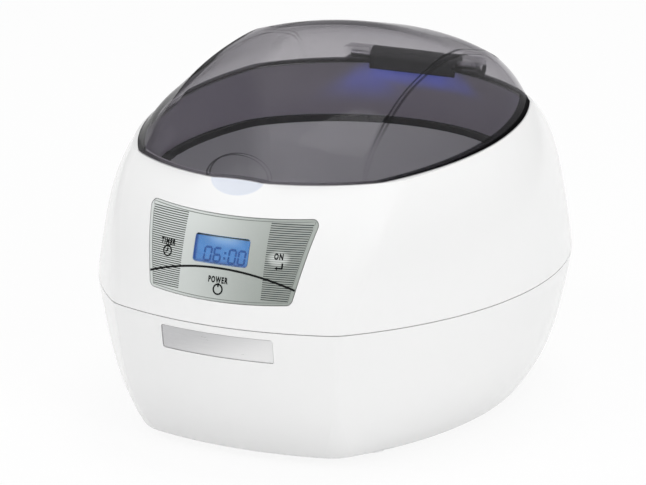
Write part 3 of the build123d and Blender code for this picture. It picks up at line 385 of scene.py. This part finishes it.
def smoked_lid():
    """Clear smoke-grey acrylic, with painted shade at its foot and in fine lines at the creases and
    scoop.
    """
    made = Shader("smoked_lid")
    rim = made.math("ADD", made.math("MULTIPLY", made.axis(Y), RIM_SLOPE), RIM_HEIGHT * MM)
    above = made.math("SUBTRACT", made.axis(Z), rim)
    foot_shade = lid_foot_shade(made, above)
    # painted shade: the foot, the scoop line and the creases darken the lid's colour
    dark = made.math("MAXIMUM", foot_shade, lid_scoop_shade(made))
    dark = made.math("MAXIMUM", dark, lid_crease_shade(made, above))
    seen = made.blend(made.noise(20.0, 2.0), shade(LID_TINT, 0.98), shade(LID_TINT, 1.02))
    scattered = made.math("GREATER_THAN", made.path("Diffuse Depth"), 0.5)
    clear = made.blend(scattered, seen, LID_SHADE)
    made.feed("Base Color", made.blend(dark, clear, LID_PAINTED_SHADE))
    made.feed("Roughness", made.ramp(made.noise(80.0), 0.0, 0.01))
    made.feed("Coat Weight", made.ramp(foot_shade, 0.28, 0.05))
    made.set(Transmission_Weight=1.0, IOR=1.005, Coat_IOR=1.5, Coat_Roughness=0.03)
    smoke = made.node("ShaderNodeVolumeAbsorption")
    smoke.inputs["Color"].default_value = (0.02, 0.0, 0.05, 1.0)
    smoke.inputs["Density"].default_value = LID_DENSITY
    made.link(smoke.outputs[0], made.out.inputs["Volume"])
    return made.material


# ================================ materials of the front ===================================

def dome_highlight(made):
    """Share of the painted highlight on the soft dome round the ON key, full at its middle."""
    dome = made.oval(
        (made.axis(X), DOME_MIDDLE[0], DOME_HALF[0]),
        (made.axis(Z), DOME_MIDDLE[1], DOME_HALF[1]),
    )
    return made.ramp(dome, 0.6, 0.0, 0.1, 1.0)


def silver_film():
    """Printed silver film: satin, with painted light towards the top left and a painted highlight
    on the dome.
    """
    made = Shader("silver_film")
    upward = made.edges((Z, 66.0, 94.0, 0.0, 0.2))
    leftward = made.edges((X, -20.0, 24.0, 0.8, 0.0))
    # painted light: the film is lighter towards the top left and darker towards the bottom right
    lift = made.math("ADD", upward, leftward)
    flake = made.noise(4000.0, 1.0)
    base = made.blend(lift, (0.33, 0.365, 0.335), (0.78, 0.82, 0.80))
    # painted highlight on the dome round the ON key
    base = made.blend(dome_highlight(made), base, (0.86, 0.89, 0.87))
    glitter = made.math("MULTIPLY", flake, 0.25)
    made.feed("Base Color", made.blend(glitter, base, (0.70, 0.73, 0.71)))
    made.feed("Roughness", made.ramp(flake, 0.28, 0.40))
    made.bump(flake, 0.003 * MM)
    made.set(Metallic=0.35, Coat_Weight=0.4, Coat_Roughness=0.05)
    return made.material


def plate_silver():
    """Brushed name plate, with painted shade that makes it darker towards its upper left."""
    made = Shader("plate_silver")
    lines = made.noise(2500.0, 3.0, (0.04, 1, 1))
    rightward = made.math("MULTIPLY", made.axis(X), 0.7)
    slope = made.math("ADD", rightward, made.math("MULTIPLY", made.axis(Z), -1.6))
    # painted shade: the plate darkens towards its upper left
    plate_shade = made.ramp(slope, 0.0, 1.0, -0.090, -0.058)
    base = made.blend(plate_shade, (0.50, 0.50, 0.51), (0.80, 0.80, 0.80))
    made.feed("Base Color", made.blend(made.math("MULTIPLY", lines, 0.3), base, (0.86, 0.86, 0.86)))
    made.feed("Roughness", made.ramp(lines, 0.25, 0.4))
    made.bump(lines, 0.01 * MM)
    made.set(Metallic=0.8)
    return made.material


def clear_window():
    """Clear cover of the display."""
    made = Shader("clear_window")
    made.feed("Base Color", made.blend(made.noise(60.0), (0.93, 0.96, 1.0), (0.97, 0.98, 1.0)))
    made.feed("Roughness", made.ramp(made.noise(200.0), 0.0, 0.03))
    made.set(Transmission_Weight=1.0, IOR=1.45)
    return made.material


def lcd_glow():
    """Backlit liquid-crystal cell: light blue, deeper towards its edges, bright at its top."""
    made = Shader("lcd_glow")
    height = made.math("SUBTRACT", made.axis(Z), LCD_MIDDLE * MM)
    sideways = made.math("ABSOLUTE", made.math("DIVIDE", made.axis(X), LCD_HALF[0] * MM))
    upright = made.math("ABSOLUTE", made.math("DIVIDE", height, LCD_HALF[1] * MM))
    left_right = made.ramp(sideways, 0.0, 1.0, 0.86, 1.02)
    top_bottom = made.ramp(upright, 0.0, 1.0, 0.72, 1.02)
    edge = made.math("MAXIMUM", left_right, top_bottom)
    patchy = made.blend(made.noise(260.0, 2.0), (0.025, 0.19, 0.52), (0.07, 0.29, 0.66))
    top = made.edges((Z, 81.5, 86.8, 0.0, 0.8))
    bright = made.math("MULTIPLY", top, made.ramp(sideways, 1.0, 0.0, 0.1, 0.85))
    lit = made.blend(bright, patchy, (0.46, 0.70, 0.92))
    color = made.blend(edge, lit, (0.01, 0.09, 0.42))
    made.feed("Base Color", color)
    made.feed("Emission Color", color)
    made.feed("Roughness", made.ramp(made.noise(900.0), 0.25, 0.4))
    made.set(Emission_Strength=0.36)
    return made.material


def ink(name, dark, light, on_dome_highlight=None):
    """Screen ink, a little uneven; the last argument is its colour under the painted highlight on
    the dome round the ON key.
    """
    made = Shader(name)
    color = made.blend(made.noise(3000.0, 1.0), dark, light)
    if on_dome_highlight:
        color = made.blend(dome_highlight(made), color, on_dome_highlight)
    made.feed("Base Color", color)
    made.feed("Roughness", made.ramp(made.noise(1500.0), 0.35, 0.5))
    made.set(Specular_IOR_Level=0.15)
    return made.material


def paint_nodes():
    """Gives each CAD node its finish."""
    white = case_white()
    black = moulded("black_hinge", (0.022, 0.022, 0.026), 0.38, tone=0.15)
    rubber = moulded("dark_rubber", (0.007, 0.007, 0.009), 0.75, 1400.0, 0.03, 0.15)
    grey = moulded("grey_plastic", (0.30, 0.31, 0.32), 0.5)
    screw = metal("plated_steel", (0.62, 0.62, 0.64), 0.28)
    brass = metal("contact_brass", (0.78, 0.60, 0.28), 0.25)
    board = moulded("board_green", (0.02, 0.16, 0.06), 0.35, 500.0, 0.01, 0.12, 0.3)
    dark = moulded("component_black", (0.03, 0.03, 0.03), 0.45)
    leads = moulded("lead_red", (0.42, 0.03, 0.025), 0.4)
    screws = ("clamp_screws", "display_board_screws", "case_screws", "power_board_screws")
    finishes = {
        white: ("upper_shell", "lower_shell"),
        smoked_lid(): ("lid",),
        black: ("hinge_block", "beeper", "power_inlet"),
        rubber: ("tank_gasket", "rubber_feet"),
        grey: ("tank_clamp_ring", "timer_key", "power_key", "on_key"),
        screw: ("hinge_pin", *screws),
        brass: ("inlet_pins", "fuse_clips"),
        board: ("display_board", "power_board"),
        dark: ("key_switches", "power_transistor"),
        leads: ("mains_leads", "transducer_leads"),
        metal("tank_steel", (0.63, 0.63, 0.645), 0.58, (1, 1, 14)): ("tank",),
        plate_silver(): ("name_plate",),
        metal("electrode_silver", (0.80, 0.76, 0.64), 0.3): ("transducer_electrode",),
        metal("sink_black", (0.06, 0.06, 0.065), 0.45): ("heat_sink",),
        metal("can_blue", (0.05, 0.08, 0.30), 0.35): ("filter_capacitor",),
        metal("copper_wire", (0.72, 0.32, 0.16), 0.3, (1, 1, 6)): ("choke",),
        moulded("epoxy", (0.10, 0.08, 0.06), 0.3): ("transducer_bond",),
        moulded("piezo_ceramic", (0.62, 0.57, 0.46), 0.6): ("transducer_disc",),
        moulded("blue_lens", (0.02, 0.10, 0.85), 0.15): ("tank_lights",),
        moulded("light_guide", (0.75, 0.82, 0.90), 0.4): ("lcd_backlight",),
        moulded("connector_white", (0.78, 0.77, 0.70), 0.45): ("board_connectors",),
        moulded("ferrite", (0.06, 0.06, 0.065), 0.7): ("transformer_core",),
        moulded("coil_tape", (0.75, 0.55, 0.05), 0.35): ("transformer_coil",),
        moulded("fuse_glass", (0.70, 0.74, 0.76), 0.08): ("fuse",),
        moulded("ribbon_grey", (0.42, 0.42, 0.43), 0.45): ("display_ribbon",),
        silver_film(): ("panel_overlay",),
        clear_window(): ("lcd_window",),
        lcd_glow(): ("lcd_module",),
    }
    painted = set()
    for material, names in finishes.items():
        for name in names:
            for slot in nodes[name].material_slots:
                slot.material = material
            painted.add(name)
    missing = set(nodes) - painted
    assert not missing, missing


# ================================ print on the front =======================================

class Print:
    """Flat ink outlines, drawn in millimetres as (x, z), gathered and laid on a CAD node."""

    def __init__(self, node):
        mesh = nodes[node].data
        corners = [vertex.co for vertex in mesh.vertices]
        self.tree = BVHTree.FromPolygons(corners, [face.vertices for face in mesh.polygons])
        self.points = []
        self.faces = []

    def area(self, outline):
        """One convex patch of ink."""
        start = len(self.points)
        self.points += list(outline)
        self.faces.append(tuple(range(start, start + len(outline))))

    def stroke(self, path, width, closed=False):
        """A line of ink of one width along the path."""
        count = len(path)
        sides = []
        for i, (x, z) in enumerate(path):
            before = path[i - 1] if closed or i else path[i]
            after = path[(i + 1) % count] if closed or i < count - 1 else path[i]
            dx, dz = after[0] - before[0], after[1] - before[1]
            length = math.hypot(dx, dz)
            nx, nz = -dz / length * width / 2, dx / length * width / 2
            sides.append(((x + nx, z + nz), (x - nx, z - nz)))
        for i in range(count if closed else count - 1):
            a, b = sides[i], sides[(i + 1) % count]
            self.area((a[0], b[0], b[1], a[1]))

    def word(self, text, x, z, width):
        """Bold narrow capitals from the built-in font, centred on x and standing on z."""
        curve = bpy.data.curves.new("word", "FONT")
        curve.body = text
        curve.size = WORD_HEIGHT * WORD_SIZE
        curve.align_x = "CENTER"
        curve.space_character = WORD_SPACING
        curve.offset = WORD_HEIGHT * WORD_WEIGHT
        curve.resolution_u = 3
        holder = bpy.data.objects.new("word", curve)
        mesh = bpy.data.meshes.new_from_object(holder)
        start = len(self.points)
        reach = [vertex.co.x for vertex in mesh.vertices]
        low, high = min(reach), max(reach)
        squeeze = width / (high - low)
        for vertex in mesh.vertices:
            off = vertex.co.x - (low + high) / 2
            self.points.append((x + off * squeeze, z + vertex.co.y))
        self.faces += [tuple(start + i for i in face.vertices) for face in mesh.polygons]
        bpy.data.objects.remove(holder)
        bpy.data.curves.remove(curve)
        bpy.data.meshes.remove(mesh)

    def lay(self, name, material, lift=INK_LIFT):
        """Presses the drawing on the node, from the front."""
        placed = []
        for x, z in self.points:
            start = Vector((x * MM, -1.0, z * MM))
            hit, normal, _, _ = self.tree.ray_cast(start, Vector((0, 1, 0)))
            if hit is None:
                raise ValueError(f"{name} misses its surface at {x:.1f}, {z:.1f}")
            if normal.y > 0:
                normal = -normal
            placed.append(hit + normal * lift * MM)
        mesh = bpy.data.meshes.new(name)
        mesh.from_pydata(placed, [], self.faces)
        mesh.materials.append(material)
        ob = bpy.data.objects.new(name, mesh)
        scene.collection.objects.link(ob)
        for polygon in mesh.polygons:
            polygon.use_smooth = True
        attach(ob, "case")


def panel_half(z):
    """Half width of the panel at a height."""
    share = (z - PANEL_BOTTOM) / (PANEL_TOP - PANEL_BOTTOM)
    return PANEL_BOTTOM_HALF + (PANEL_TOP_HALF - PANEL_BOTTOM_HALF) * share


def bow(half, z, middle, count=24):
    """Points of a shallow arc from -half to half, z at its ends and middle at its centre."""
    steps = [-1 + 2 * i / count for i in range(count + 1)]
    return [(half * s, middle + (z - middle) * s * s) for s in steps]


def along(a, b, count=8):
    """Evenly spaced points from a to b."""
    dx, dz = b[0] - a[0], b[1] - a[1]
    return [(a[0] + dx * i / count, a[1] + dz * i / count) for i in range(count + 1)]


def circle(middle, radius, count=28):
    turns = [2 * math.pi * i / count for i in range(count)]
    return [(middle[0] + radius * math.cos(t), middle[1] + radius * math.sin(t)) for t in turns]


def hatch(drawing):
    """The two fields of stripes."""
    for i in range(HATCH_LINES):
        z = HATCH_BOTTOM + (HATCH_TOP - HATCH_BOTTOM) * i / (HATCH_LINES - 1)
        edge = panel_half(z) - HATCH_EDGE
        drawing.stroke(along((-edge, z), (HATCH_LEFT_INNER, z)), HATCH_LINE)
        drawing.stroke(along((HATCH_RIGHT_INNER, z), (edge, z)), HATCH_LINE)


def border(drawing):
    """Thin line just inside the panel's edge."""
    inset = BORDER_INSET
    top_ends = PANEL_TOP - inset
    bottom_ends = PANEL_BOTTOM + inset
    top = bow(PANEL_TOP_HALF - 2 * inset, top_ends, top_ends - PANEL_TOP_SAG)
    bottom = bow(PANEL_BOTTOM_HALF - 1.6 * inset, bottom_ends, bottom_ends - PANEL_BOTTOM_SAG)
    right = along(top[-1], bottom[-1])[1:-1]
    left = along(bottom[0], top[0])[1:-1]
    drawing.stroke(top + right + bottom[::-1] + left, BORDER_WIDTH, closed=True)


def icons(drawing):
    """Clock, power sign and enter arrow."""
    r = ICON_RADIUS
    x, z = CLOCK_AT
    drawing.stroke(circle(CLOCK_AT, r), ICON_LINE, closed=True)
    drawing.stroke([(x, z + r * 0.6), (x, z)], ICON_LINE)
    drawing.stroke([(x, z), (x - r * 0.5, z - r * 0.2)], ICON_LINE)
    x, z = POWER_AT
    drawing.stroke(circle(POWER_AT, r), ICON_LINE, closed=True)
    drawing.stroke([(x, z + r * 1.25), (x, z + r * 0.45)], ICON_LINE)
    x, z = ENTER_AT
    tail, shaft, head = x + r * 0.7, z - r * 0.25, x - r * 0.25
    drawing.stroke([(tail, z + r * 0.8), (tail, z - r * 0.35)], ICON_LINE)
    drawing.stroke([(x + r * 0.8, shaft), (x - r * 0.3, shaft)], ICON_LINE)
    drawing.area([(x - r * 0.9, shaft), (head, z - r * 0.6), (head, z + r * 0.1)])


def segment_bars(digit):
    """Ends of the lit bars of a seven-segment digit, in a unit box."""
    bars = {
        "a": ((0, 1), (1, 1)),
        "b": ((1, 1), (1, 0.5)),
        "c": ((1, 0.5), (1, 0)),
        "d": ((0, 0), (1, 0)),
        "e": ((0, 0.5), (0, 0)),
        "f": ((0, 1), (0, 0.5)),
        "g": ((0, 0.5), (1, 0.5)),
    }
    lit = {"0": "abcdef", "6": "acdefg"}[digit]
    return [bars[key] for key in lit]


def digit_bar(drawing, left, start, end):
    """One lit bar with pointed ends."""
    def place(point):
        z = point[1] * DIGIT_HEIGHT
        return Vector((left + point[0] * DIGIT_WIDTH + z * DIGIT_SLANT, DIGITS_BOTTOM + z))

    a, b = place(start), place(end)
    way = (b - a).normalized()
    side = Vector((-way.y, way.x)) * DIGIT_LINE / 2
    gap = way * DIGIT_LINE * DIGIT_GAP
    step = way * DIGIT_LINE * DIGIT_POINT
    outline = [a + gap, a + step + side, b - step + side, b - gap, b - step - side, a + step - side]
    drawing.area([tuple(point) for point in outline])


def digits(drawing):
    """The time on the display."""
    left = DIGITS_LEFT
    for sign in DIGITS:
        if sign == ":":
            r = DIGIT_LINE * 0.55
            for share in COLON_DOTS:
                z = DIGITS_BOTTOM + DIGIT_HEIGHT * share
                x = left + COLON_PITCH * 0.25 + DIGIT_HEIGHT * share * DIGIT_SLANT
                drawing.area([(x - r, z - r), (x + r, z - r), (x + r, z + r), (x - r, z + r)])
            left += COLON_PITCH
            continue
        for start, end in segment_bars(sign):
            digit_bar(drawing, left, start, end)
        left += DIGIT_PITCH


def print_front():
    """Everything that is printed on the film or shown by the display."""
    black = ink("black_ink", (0.0051, 0.00595, 0.00595), (0.0069, 0.00805, 0.00805))
    # the stripes fade to a pale colour under the painted highlight on the dome
    stripe = ink("stripe_ink", (0.045, 0.055, 0.050), (0.070, 0.080, 0.075), (0.62, 0.65, 0.63))
    edge = ink("border_ink", (0.204, 0.221, 0.20825), (0.276, 0.299, 0.28175))
    blue = ink("digit_ink", (0.0, 0.1105, 0.459), (0.0, 0.1495, 0.621))
    stripes = Print("panel_overlay")
    hatch(stripes)
    stripes.lay("panel_stripes", stripe)
    rim = Print("panel_overlay")
    border(rim)
    rim.lay("panel_border", edge)
    marks = Print("panel_overlay")
    marks.stroke(bow(BOW_HALF, BOW_ENDS, BOW_TOP), BOW_WIDTH)
    for text, (x, z, width) in WORDS.items():
        marks.word(text, x, z, width)
    icons(marks)
    marks.lay("panel_marks", black, MARK_LIFT)
    shown = Print("lcd_module")
    digits(shown)
    shown.lay("display_digits", blue)


# ================================ studio ====================================================

def camera():
    """The camera, fitted to the picture's angle and framing."""
    right = Vector((math.cos(AZIMUTH), math.sin(AZIMUTH), 0.0))
    back = Vector((
        math.sin(AZIMUTH) * math.cos(ELEVATION),
        -math.cos(AZIMUTH) * math.cos(ELEVATION),
        math.sin(ELEVATION),
    ))
    up = back.cross(right)
    data = bpy.data.cameras.new("camera")
    data.sensor_width = SENSOR
    data.lens = FOCAL_PIXELS / PICTURE_WIDTH * SENSOR
    data.clip_end = CLIP_END
    eye = bpy.data.objects.new("camera", data)
    place = Vector((0, 0, AIM_HEIGHT)) + back * CAMERA_DISTANCE - right * AIM_LEFT + up * AIM_UP
    turn = Matrix((right, up, back)).transposed().to_4x4()
    eye.matrix_world = Matrix.Translation(place) @ turn
    scene.collection.objects.link(eye)
    scene.camera = eye


def softbox(name, place, aim, size, power):
    """A white area lamp that gloss doesn't mirror."""
    data = bpy.data.lights.new(name, "AREA")
    data.shape = "RECTANGLE"
    data.size, data.size_y = size
    data.energy = power
    lamp = bpy.data.objects.new(name, data)
    lamp.location = place
    lamp.visible_glossy = False
    lamp.rotation_euler = (Vector(aim) - Vector(place)).to_track_quat("-Z", "Y").to_euler()
    scene.collection.objects.link(lamp)


def floor():
    """Pale floor; it is seen nearly white, with the object's faint shadow."""
    near, far = -FLOOR_HALF, FLOOR_HALF
    corners = [(near, near, 0), (far, near, 0), (far, far, 0), (near, far, 0)]
    mesh = bpy.data.meshes.new("floor")
    mesh.from_pydata(corners, [], [(0, 1, 2, 3)])
    ob = bpy.data.objects.new("floor", mesh)
    scene.collection.objects.link(ob)
    material = bpy.data.materials.new("floor_white")
    made = Tree(material, "ShaderNodeOutputMaterial")
    matt = made.light("ShaderNodeBsdfDiffuse", FLOOR_TONE)
    white = made.light("ShaderNodeEmission", 1.0, 1.0)
    seen = made.math("MAXIMUM", made.path("Is Camera Ray"), made.path("Is Glossy Ray"))
    seen = made.math("MAXIMUM", seen, made.path("Is Transmission Ray"))
    made.show(made.product(seen, FLOOR_WHITE), matt, white)
    mesh.materials.append(material)


def world():
    """Even studio light all round, seen as white directly and through the lid."""
    scene.world = bpy.data.worlds.new("studio")
    made = Tree(scene.world, "ShaderNodeOutputWorld")
    light = made.light("ShaderNodeBackground", 1.0, WORLD_LIGHT)
    white = made.light("ShaderNodeBackground", 1.0, 1.0)
    unscattered = made.math("LESS_THAN", made.path("Diffuse Depth"), 0.5)
    through = made.product(unscattered, made.path("Is Transmission Ray"))
    seen = made.math("MAXIMUM", made.path("Is Camera Ray"), through)
    made.show(seen, light, white)


def studio():
    world()
    floor()
    for name, (place, aim, size, power) in LAMPS.items():
        softbox(name, place, aim, size, power)


paint_nodes()
print_front()
studio()
camera()
scene.view_settings.view_transform = "Standard"
